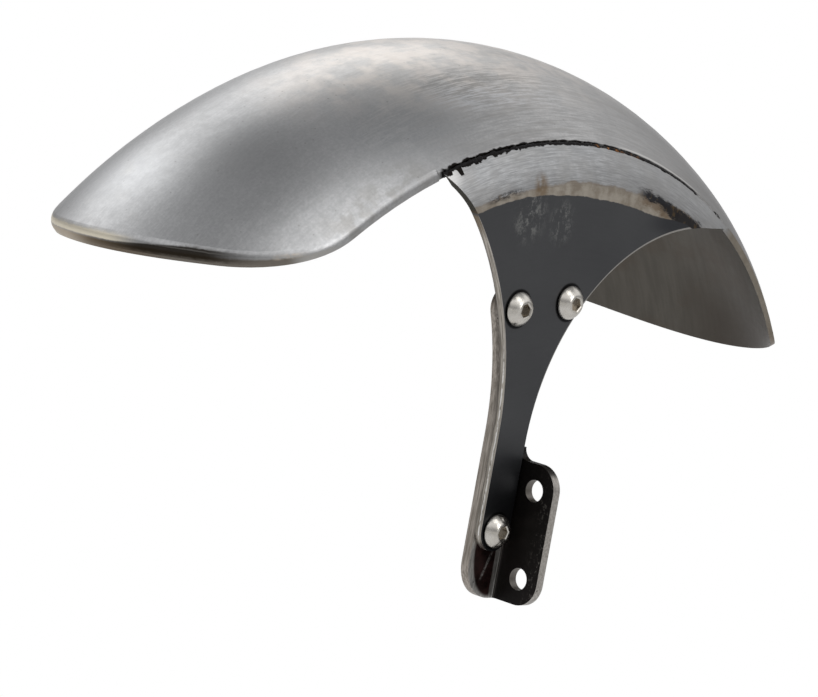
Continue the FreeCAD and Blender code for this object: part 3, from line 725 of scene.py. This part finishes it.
def make_plate_steel():
    """Scale, ground strip, heat, seam and cut edges."""
    g = Finish("plate_steel")
    above = g.calc("SUBTRACT", g.radius, scale_line(g))
    strip = soot(g, heat_band(g, ground_strip(g), above))
    strip = strip_end(g, strip_burn(g, strip))
    bare = g.ramp(above, -0.25, 0.25)
    colour = g.mix(bare, mill_scale(g), strip)
    z = g.axes(g.at)[2]
    # Painted contact shadow round the screw heads, and the plate darker towards its bottom.
    dark = g.calc("MAXIMUM", screw_shadow_rings(g), g.times(g.ramp(z, 48.0, 8.0), 0.8))
    colour = g.mix(dark, colour, (0.010, 0.010, 0.011))
    between = g.window(g.across, PLATE_BACK + 0.1, PLATE_FACE - 0.15, 0.08)
    edge = g.times(between, g.ramp(above, 0.0, -2.0))
    colour = g.mix(edge, colour, sawn_edge(g))
    metal = g.calc("MAXIMUM", bare, g.calc("MAXIMUM", edge, dark))
    rough = g.calc("MULTIPLY_ADD", g.lines, 0.10, g.calc("MULTIPLY_ADD", bare, 0.12, 0.34))
    metallic = g.calc("MULTIPLY_ADD", metal, 0.75, 0.25)
    return g.close(colour, rough, g.height, metallic, 0.10)


wear(nodes["hanger_plate"], make_plate_steel())

# %% [markdown]
# ## The fork bracket
# The bracket is thicker hot-rolled plate with nearly black scale. Its rims were ground: pale grey
# with pits round the flange, brown streaks down the leg. An edge is any face that looks along
# neither flat of the bracket: the flange's flats face ahead and back, the leg's flats sideways.

# %% The bracket's scale and rims
FORK_HOLES = [(2.0, 0.0, 18.2), (2.0, 0.0, -18.2)]
HOLE_RADII = (20.0, 5.5, 5.5)


def bracket_edges(g):
    """1 on the rims and in the holes, 0 on the flats and the bend."""
    x, y, _ = g.axes(g.at)
    ahead, aside, _ = g.axes(g.own_normal())
    flat_flange = g.times(g.calc("ABSOLUTE", ahead), g.ramp(x, 5.8, 5.5))
    flat_leg = g.times(g.calc("ABSOLUTE", aside), g.ramp(y, -5.5, -6.5))
    return g.ramp(g.calc("MAXIMUM", flat_flange, flat_leg), 0.80, 0.45)


def bracket_scale(g):
    """Nearly black scale, with grey specks where it wears near the flange's rim."""
    scale = g.mix(g.clouds, (0.005, 0.004, 0.0035), (0.012, 0.0095, 0.0085))
    worn = g.ramp(g.across, 1.0, 9.0)
    specks = g.times(g.ramp(g.speckle(g.at, 1.6, 5.0, 0.7), 0.54, 0.66), worn, 0.55)
    return g.mix(specks, scale, (0.20, 0.185, 0.165))


def bracket_rims(g):
    """Pale pitted rim on the flange, brown streaks on the leg's edge, painted shade beside the
    plate and on upward rims.
    """
    streaks = g.streaks(g.at, (0.7, 0.7, 12.0), 4.0, 0.65)
    brown = g.mix(g.ramp(streaks, 0.36, 0.64), (0.28, 0.25, 0.215), (0.56, 0.505, 0.45))
    pale = g.mix(g.grain, (0.36, 0.335, 0.305), (0.56, 0.53, 0.49))
    height = g.axes(g.at)[2]
    wander = g.calc("MULTIPLY_ADD", g.speckle(g.at, 9.0, 4.0), 2.4, g.across)
    # Painted shade on the leg's edge beside the hanger plate.
    plate_shade = g.times(g.ramp(wander, -12.2, -11.0), g.ramp(height, 30.0, 60.0), 0.5)
    brown = g.mix(plate_shade, brown, (0.045, 0.038, 0.033))
    rims = g.mix(g.ramp(g.across, -10.5, -6.0), brown, pale)
    for centre in FORK_HOLES:
        hole = g.spot(g.at, centre, HOLE_RADII, 0.05)
        rims = g.mix(hole, rims, (0.20, 0.183, 0.163))
    # Rims that face upwards are painted black as shade.
    upward = g.axes(g.own_normal())[2]
    top = g.times(g.ramp(upward, 0.45, 0.75), g.ramp(height, 24.0, 27.0), 0.95)
    rims = g.mix(top, rims, BURNT_AND_SHADE_BLACK)
    return g.mix(g.times(g.pits, 0.9), rims, (0.04, 0.033, 0.028))


print(len(FORK_HOLES), "fork holes are dark inside")

# %% [markdown]
# ## The ground end of the leg
# Below the hanger plate the leg's face was ground back to grey metal, and a patch of dark red
# scale was left standing in it, with one bright scratch across. The patch is a quarter of an oval.

# %% The leg's ground end and the whole finish of the bracket
PATCH_CENTRE = (8.0, PLATE_BACK, -8.0)
PATCH_RADII = (12.4, 6.0, 20.0)
SCRATCH_START = (10.1, PLATE_BACK, -10.6)
SCRATCH_WAY = (0.93, 0.0, 0.36)


def ground_end(g, scale):
    """Grey ground metal round a patch of dark red scale, on the low end of the leg's face."""
    x, y, z = g.axes(g.at)
    lines = g.streaks(g.at, (0.8, 2.0, 7.0), 4.0, 0.65)
    grey = g.mix(g.ramp(lines, 0.34, 0.66), (0.30, 0.285, 0.265), (0.60, 0.58, 0.55))
    grey = g.mix(g.times(g.pits, 0.9), grey, (0.015, 0.011, 0.01))
    red = g.mix(g.mottle, (0.020, 0.011, 0.010), (0.048, 0.022, 0.020))
    patch = g.times(g.spot(g.at, PATCH_CENTRE, PATCH_RADII, 0.05), g.ramp(x, 7.0, 7.7))
    off = g.vector_sum("SUBTRACT", g.at, SCRATCH_START)
    off = g.vector_sum("DOT_PRODUCT", off, SCRATCH_WAY, "Value")
    scratch = g.times(g.window(off, -0.6, 0.6, 0.4), g.window(z, -20.5, -9.5, 1.5), g.grain)
    end = g.mix(g.times(patch, g.calc("SUBTRACT", 1.0, scratch)), grey, red)
    face = g.times(g.window(y, -11.6, -10.9, 0.15), g.ramp(x, 4.6, 5.2), g.ramp(z, 4.0, 0.0))
    return g.mix(face, scale, end), face


def make_bracket_steel():
    """Black scale, ground rims and the leg's ground end."""
    g = Finish("bracket_steel")
    colour, ground = ground_end(g, bracket_scale(g))
    edge = bracket_edges(g)
    colour = g.mix(edge, colour, bracket_rims(g))
    rough = g.calc("MULTIPLY_ADD", g.mottle, 0.12, 0.36)
    metallic = g.calc("MULTIPLY_ADD", g.calc("MAXIMUM", edge, ground), 0.5, 0.45)
    return g.close(colour, rough, g.height, metallic, 0.25, gloss=0.2)


wear(nodes["fork_bracket"], make_bracket_steel())

# %% [markdown]
# ## Growing a turned shape ring by ring
# A screw is round about one axis, and its socket is a hexagon about the same axis. One ring of
# edges, extruded again and again and moved each time to a new outline and height, makes the whole
# screw, and no face has to be listed by hand.

# %% Rings and outlines
RING_STEPS = 48


def round_outline(radius):
    """The same reach all round."""
    return lambda angle: radius


def hexagon_outline(width):
    """The reach of a hexagon, by its width across flats."""
    sixth = math.pi / 3
    return lambda angle: width / 2 / math.cos((angle % sixth) - sixth / 2)


def first_ring(made):
    """A ring of edges to grow from."""
    verts = bmesh.ops.create_circle(made, segments=RING_STEPS, radius=1.0)["verts"]
    return list({edge for vert in verts for edge in vert.link_edges})


def shape_ring(ring, outline, height):
    """Moves a ring to an outline at one height."""
    for vert in {vert for edge in ring for vert in edge.verts}:
        angle = math.atan2(vert.co.y, vert.co.x)
        reach = outline(angle)
        vert.co = (reach * math.cos(angle), reach * math.sin(angle), height)


def grow(made, ring, outline, height):
    """Extrudes a ring and moves the new one on."""
    extruded = bmesh.ops.extrude_edge_only(made, edges=ring)["geom"]
    ring = [item for item in extruded if isinstance(item, bmesh.types.BMEdge) and item.is_boundary]
    shape_ring(ring, outline, height)
    return ring


print("rings of", RING_STEPS, "points")

# %% [markdown]
# ## From a mesh to a piece
# A mesh becomes a piece once it has a name, a finish and a body to ride on. Double points are
# joined and faces turned outwards first. Smooth shading with a limit on the angle keeps a socket's
# rim crisp and a dome round. The piece then stands for the part that it refines.

# %% Turn a mesh into a piece
SHARP_DEGREES = 32
DOUBLE = 1e-4


def finish_piece(made, name, material, replaced):
    """Writes a mesh in millimetres as a piece that stands for a plain part."""
    bmesh.ops.remove_doubles(made, verts=made.verts, dist=DOUBLE)
    bmesh.ops.recalc_face_normals(made, faces=made.faces)
    bmesh.ops.scale(made, vec=(MM, MM, MM), verts=made.verts)
    mesh = bpy.data.meshes.new(name)
    made.to_mesh(mesh)
    made.free()
    mesh.shade_smooth()
    mesh.set_sharp_from_angle(angle=math.radians(SHARP_DEGREES))
    piece = bpy.data.objects.new(name, mesh)
    bpy.context.scene.collection.objects.link(piece)
    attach(piece, "root")
    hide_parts(replaced)
    wear(piece, material)
    print(name, "has", len(mesh.polygons), "faces")


print("edges sharper than", SHARP_DEGREES, "degrees stay crisp")

# %% [markdown]
# ## Domed screws
# The three screws are stainless, with a low domed head, a hexagon socket and a rolled thread. The
# dome is part of a ball: its rings follow the ball from the rim up to the flat round the socket.
# Under the head the same ring goes on down the shank and into the thread's ridges.

# %% Rings of a screw
HEAD_RADIUS = 7.0
HEAD_RIM = 0.9
HEAD_FLAT = 3.7
HEAD_HEIGHT = 4.4
SHANK = 4.0
THREAD_START = -7.5
SCREW_END = -10.0
PITCH = 1.25
RIM_ROUND = 0.35
TIP = 0.5
DOME_STEPS = 9
RIDGE = [(0.55, 0.45), (0.55, 0.65), (0.0, 1.1), (0.0, PITCH)]
SOCKET = [(5.7, HEAD_HEIGHT), (5.0, HEAD_HEIGHT - 0.35), (5.0, HEAD_HEIGHT - 2.6)]


def dome_rings():
    """Radius and height of each ring on the head's dome."""
    spread = HEAD_FLAT ** 2 + HEAD_HEIGHT ** 2 - HEAD_RADIUS ** 2 - HEAD_RIM ** 2
    centre = spread / (2 * (HEAD_HEIGHT - HEAD_RIM))
    ball = math.hypot(HEAD_RADIUS, HEAD_RIM - centre)
    start = math.asin((HEAD_RIM - centre) / ball)
    end = math.asin((HEAD_HEIGHT - centre) / ball)
    lifts = [start + (end - start) * step / DOME_STEPS for step in range(DOME_STEPS + 1)]
    return [(ball * math.cos(lift), centre + ball * math.sin(lift)) for lift in lifts]


def shank_rings():
    """Radius and height of each ring below the head, down the thread to its tip."""
    rings = [(HEAD_RADIUS, RIM_ROUND), (HEAD_RADIUS - RIM_ROUND, 0.0)]
    rings += [(SHANK, 0.0), (SHANK, THREAD_START)]
    for ridge in range(int((THREAD_START - SCREW_END) / PITCH)):
        top = THREAD_START - ridge * PITCH
        rings += [(SHANK - inward, top - down) for inward, down in RIDGE]
    return rings[:-1] + [(SHANK - TIP, SCREW_END)]


print(len(dome_rings()), "rings on the dome and", len(shank_rings()), "below the head")

# %% [markdown]
# ## Turning the screws
# Growing goes two ways from the head's rim: up over the dome and down into the socket, then under
# the head and down the shank to the tip. A finished screw is laid into each hole of the plate and
# turned about its axis, because no two screws stop at the same angle.

# %% Turn and place the screws
SOCKET_TURNS = (20, 48, 8)


def turn_screw():
    """One screw along +Z, its head on the plane z = 0."""
    made = bmesh.new()
    rim = first_ring(made)
    shape_ring(rim, round_outline(HEAD_RADIUS), HEAD_RIM)
    ring = rim
    for radius, height in dome_rings()[1:]:
        ring = grow(made, ring, round_outline(radius), height)
    for width, height in SOCKET:
        ring = grow(made, ring, hexagon_outline(width), height)
    bmesh.ops.edgeloop_fill(made, edges=ring)
    ring = rim
    for radius, height in shank_rings():
        ring = grow(made, ring, round_outline(radius), height)
    bmesh.ops.edgeloop_fill(made, edges=ring)
    return made


def three_screws():
    """Three screws in their holes, each turned as it was tightened."""
    whole = bmesh.new()
    for (x, z), angle in zip(SCREWS, SOCKET_TURNS):
        made = turn_screw()
        tilt = Matrix.Rotation(math.radians(-90), 4, "X")
        tilt = tilt @ Matrix.Rotation(math.radians(angle), 4, "Z")
        laid = Matrix.Translation((x, PLATE_FACE, z)) @ tilt
        bmesh.ops.transform(made, matrix=laid, verts=made.verts)
        part = bpy.data.meshes.new("part")
        made.to_mesh(part)
        made.free()
        whole.from_mesh(part)
        bpy.data.meshes.remove(part)
    return whole


screws = three_screws()
print(len(screws.verts), "points on", len(SCREWS), "screws")

# %% [markdown]
# ## Stainless steel
# The screws are satin stainless, paler and warmer than the shell. Their sockets are coloured a
# darker brown than the domes. An oval round the middle of each socket is mask enough for it.

# %% Finish the screws
SOCKET_MIDDLE = 2.0
SOCKET_RADII = (3.4, 2.3, 3.4)


def make_stainless():
    """Satin stainless steel, a little warm, with darker brown sockets."""
    g = Finish("stainless")
    colour = g.mix(g.mottle, (0.60, 0.565, 0.51), (0.74, 0.71, 0.655))
    colour = g.mix(g.times(g.pits, 0.3), colour, (0.18, 0.16, 0.14))
    for x, z in SCREWS:
        darker_socket = g.spot(g.at, (x, PLATE_FACE + SOCKET_MIDDLE, z), SOCKET_RADII, 0.05)
        colour = g.mix(g.times(darker_socket, 0.55), colour, (0.19, 0.16, 0.12))
    rough = g.calc("MULTIPLY_ADD", g.mottle, 0.08, 0.21)
    return g.close(colour, rough, g.height, 1.0, 0.03)


finish_piece(screws, "domed_screws", make_stainless(), "button_screws")

# %% [markdown]
# ## The ragged weld
# The gap between the shell and the plate is filled by a thin, burnt weld, a little sunk in. A small
# oval ring is spun round the axle along the seam, and noise then pushes each of its points in or
# out, so that it looks like metal that ran and froze.

# %% Make the weld
BEAD_STEPS = 420
BEAD_SIDES = 12
BEAD_HALVES = (0.78, 1.15, 1.0)
BEAD_SUNK = 1.0
LUMPS = [(0.45, 0.9), (1.3, 0.5)]
ROUGH_REAR = 0.35
ROUGH_MORE = 0.45
ROUGH_FROM = 8.0
ROUGH_OVER = 10.0


def spin_bead():
    """An oval ring spun along the seam."""
    made = bmesh.new()
    ring = bmesh.ops.create_circle(made, segments=BEAD_SIDES, radius=1.0)["verts"]
    bmesh.ops.scale(made, vec=BEAD_HALVES, verts=ring)
    upright = Matrix(((0, 0, 1, 0), (1, 0, 0, 0), (0, 1, 0, 0), (0, 0, 0, 1)))
    middle = (SHELL_EDGE + STRIP_EDGE) / 2
    start = Matrix.Rotation(math.radians(SEAM_FRONT), 4, "Y")
    place = Matrix.Translation(Vector((AXLE.x, middle, AXLE.z))) @ start
    lift = Matrix.Translation((0, 0, SEAM_RADIUS - BEAD_SUNK))
    bmesh.ops.transform(made, matrix=place @ lift @ upright, verts=ring)
    bmesh.ops.contextual_create(made, geom=made.edges[:])
    sweep = math.radians(SEAM_REAR - SEAM_FRONT)
    geometry = made.verts[:] + made.edges[:] + made.faces[:]
    bmesh.ops.spin(made, geom=geometry, cent=AXLE, axis=(0, 1, 0), angle=sweep, steps=BEAD_STEPS)
    return made


def roughen(made):
    """Pushes each point out or in by noise, more near the front where the torch started."""
    made.normal_update()
    for vert in made.verts:
        turned = math.degrees(math.atan2(vert.co.x - AXLE.x, vert.co.z - AXLE.z))
        heavy = ROUGH_REAR + ROUGH_MORE * max(0.0, min(1.0, (turned - ROUGH_FROM) / ROUGH_OVER))
        lump = sum(noise.noise(vert.co * scale) * height for scale, height in LUMPS)
        vert.co += vert.normal * lump * heavy


bead = spin_bead()
roughen(bead)
print("the bead has", len(bead.verts), "points")

# %% [markdown]
# ## Burnt metal
# The weld is black oxide with flecks of rust in the middle of its run. Near its rear end it was
# ground bare together with the shell, but for one short dash. The angle round the axle tells which
# of them a point shows.


# %% Finish the weld
def make_burnt_weld():
    """Black oxide with rusty flecks; ground bare near its rear end, but for one dash."""
    g = Finish("burnt_weld")
    fleck = g.ramp(g.speckle(g.rolled, 4.0, 5.0, 0.65), 0.52, 0.62)
    rusty = g.times(fleck, g.window(g.angle, -9.0, -1.0, 2.0))
    colour = g.mix(rusty, (0.010, 0.009, 0.009), (0.34, 0.15, 0.05))
    dash = g.times(g.window(g.angle, -28.7, -26.8, 0.3), g.ramp(g.mottle, 0.2, 0.5))
    black = g.calc("MAXIMUM", dash, g.ramp(g.angle, -23.4, -22.6))
    colour = g.mix(black, g.mix(g.lines, (0.36, 0.355, 0.345), (0.50, 0.495, 0.485)), colour)
    rough = g.calc("MULTIPLY_ADD", g.mottle, 0.2, 0.5)
    metallic = g.calc("MULTIPLY_ADD", black, -0.6, 1.0)
    return g.close(colour, rough, g.mottle, metallic, 0.5, gloss=0.2)


finish_piece(bead, "ragged_weld", make_burnt_weld(), "seam_weld")

# %% [markdown]
# ## The studio
# The fender hangs in the air, so the floor lies well below it, and to the camera both floor and
# room are plain white. What the steel mirrors is a room with pale walls and a dark ceiling: that
# is what shapes a bare shell, bright at its sides and darker along its top.

# %% The floor
FLOOR = -900.0
FLOOR_RADIUS = 3000.0


def white_to_camera(g, shader):
    """Plain white to the camera, the given shader to all else."""
    seen = g.put("ShaderNodeLightPath", {}).outputs["Is Camera Ray"]
    white = g.put("ShaderNodeEmission", {"Color": (1.0, 1.0, 1.0), "Strength": 1.0})
    return g.put("ShaderNodeMixShader", {0: seen, 1: shader, 2: white.outputs[0]}).outputs[0]


def make_floor():
    """A wide pale disc."""
    made = bmesh.new()
    bmesh.ops.create_circle(made, cap_ends=True, radius=FLOOR_RADIUS * MM, segments=64)
    bmesh.ops.translate(made, vec=(0, 0, FLOOR * MM), verts=made.verts)
    mesh = bpy.data.meshes.new("floor")
    made.to_mesh(mesh)
    made.free()
    floor = bpy.data.objects.new("floor", mesh)
    bpy.context.scene.collection.objects.link(floor)
    material = bpy.data.materials.new("floor_white")
    material.use_nodes = True
    g = Graph(material.node_tree)
    pale = g.put("ShaderNodeBsdfPrincipled", {"Base Color": (0.86, 0.86, 0.86), "Roughness": 0.9})
    g.put("ShaderNodeOutputMaterial", {"Surface": white_to_camera(g, pale.outputs[0])})
    wear(floor, material)


make_floor()

# %% [markdown]
# ## The room and its lights
# Bare steel looks only as good as what it mirrors. The walls brighten upwards to a dark ceiling,
# and three soft boxes add the pale sweeps on the shell and the glints on the screws. Each box is an
# oblong light, placed by two angles and a distance.


# %% Make the room and its lights
def make_room():
    """Walls that brighten upwards under a dark ceiling."""
    world = bpy.data.worlds.new("room")
    world.use_nodes = True
    g = Pattern(world.node_tree)
    way = g.put("ShaderNodeTexCoord", {}).outputs["Generated"]
    height = g.axes(way)[2]
    wall = g.mix(g.ramp(height, 0.10, 0.60), (0.27, 0.27, 0.275), (0.88, 0.885, 0.90))
    room = g.mix(g.ramp(height, 0.74, 0.90), wall, (0.31, 0.315, 0.325))
    room = g.mix(g.ramp(height, 0.04, -0.06), room, (0.56, 0.56, 0.56))
    behind = g.vector_sum("DOT_PRODUCT", way, -back, "Value")
    room = g.mix(g.ramp(behind, 0.92, 0.99), room, (1.0, 1.0, 1.0))
    light = g.put("ShaderNodeBackground", {"Color": room, "Strength": 1.0})
    g.put("ShaderNodeOutputWorld", {"Surface": white_to_camera(g, light.outputs[0])})
    bpy.context.scene.world = world


def soft_box(name, azimuth, elevation, distance, width, height, power):
    """An oblong light that looks at the fender; lengths in metres."""
    light = bpy.data.lights.new(name, "AREA")
    light.shape = "RECTANGLE"
    light.size = width
    light.size_y = height
    light.energy = power
    lamp = bpy.data.objects.new(name, light)
    away = direction(math.radians(azimuth), math.radians(elevation))
    aimed = away.to_track_quat("Z", "Y").to_matrix().to_4x4()
    lamp.matrix_world = Matrix.Translation(AIM * MM + distance * away) @ aimed
    bpy.context.scene.collection.objects.link(lamp)
    print(name, "gives", power, "watts")


make_room()
soft_box("left_box", azimuth=-105, elevation=38, distance=2.2, width=2.5, height=1.0, power=5.9)
soft_box("right_box", azimuth=80, elevation=60, distance=1.8, width=0.8, height=0.8, power=2.9)
soft_box("side_box", azimuth=94, elevation=24, distance=1.8, width=0.5, height=1.0, power=4.7)
bpy.context.scene.view_settings.view_transform = "Standard"

# %% [markdown]
